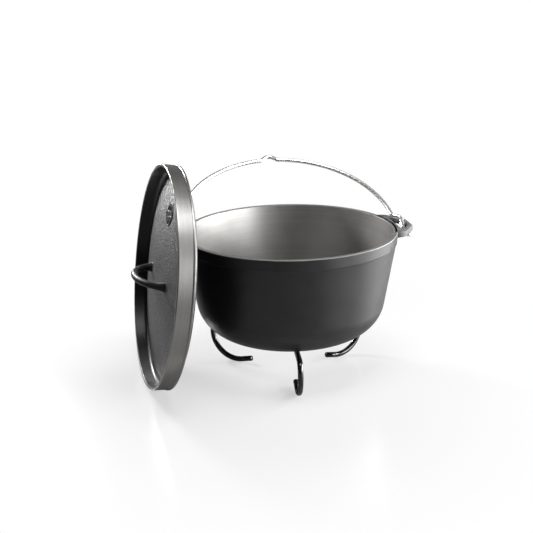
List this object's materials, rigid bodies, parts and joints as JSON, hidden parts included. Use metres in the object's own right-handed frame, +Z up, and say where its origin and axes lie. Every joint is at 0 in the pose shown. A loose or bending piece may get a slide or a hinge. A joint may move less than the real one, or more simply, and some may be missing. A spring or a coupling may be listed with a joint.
{
  "type": "cast iron dutch oven",
  "caption": "Round cast iron camp pot with a swinging wire bail, a dished lid with a loop handle leaning against it, and a bent-wire stand that holds it off the ground.",
  "frame": {"origin": "on the ground, under the pot's axis", "axes": "+Z up, +X through the right ear, +Y the side the bail leans to; the lid leans at -X"},
  "size_m": [0.3565, 0.2796, 0.279],
  "materials": {
    "pot_iron": "seasoned satin cast iron, turned rim and inside",
    "ear_iron": "seasoned cast iron",
    "lid_iron": "sand-cast dome, turned lip and band",
    "handle_iron": "smooth dark seasoned iron",
    "badge_iron": "raised sand-cast detail",
    "bail_steel": "bright drawn stainless wire",
    "stand_black": "gloss black coated wire",
    "weld_black": "gloss black coated weld bead"
  },
  "bodies": {
    "stand": {"stand_leg_front": "stand_black", "stand_leg_left": "stand_black", "stand_leg_right": "stand_black", "stand_hub_ring": "stand_black", "stand_welds": "weld_black"},
    "pot": {"pot_body": "pot_iron", "left_ear": "ear_iron", "right_ear": "ear_iron"},
    "bail": {"bail_wire": "bail_steel"},
    "lid": {"lid_body": "lid_iron", "lid_handle": "handle_iron", "lid_badge": "badge_iron"}
  },
  "joints": [
    {"name": "pot_lift", "type": "slide", "parent": "stand", "child": "pot", "axis": [0.342, 0, 0.9397], "range_m": [0, 0.05]},
    {"name": "bail_swing", "type": "hinge", "parent": "pot", "child": "bail", "pos_m": [0, -0.008, 0.1845], "axis": [1, 0, 0], "range_deg": [0, 120]},
    {"name": "lid_away", "type": "slide", "parent": "stand", "child": "lid", "axis": [-0.9976, -0.0698, 0], "range_m": [0, 0.12]}
  ]
}
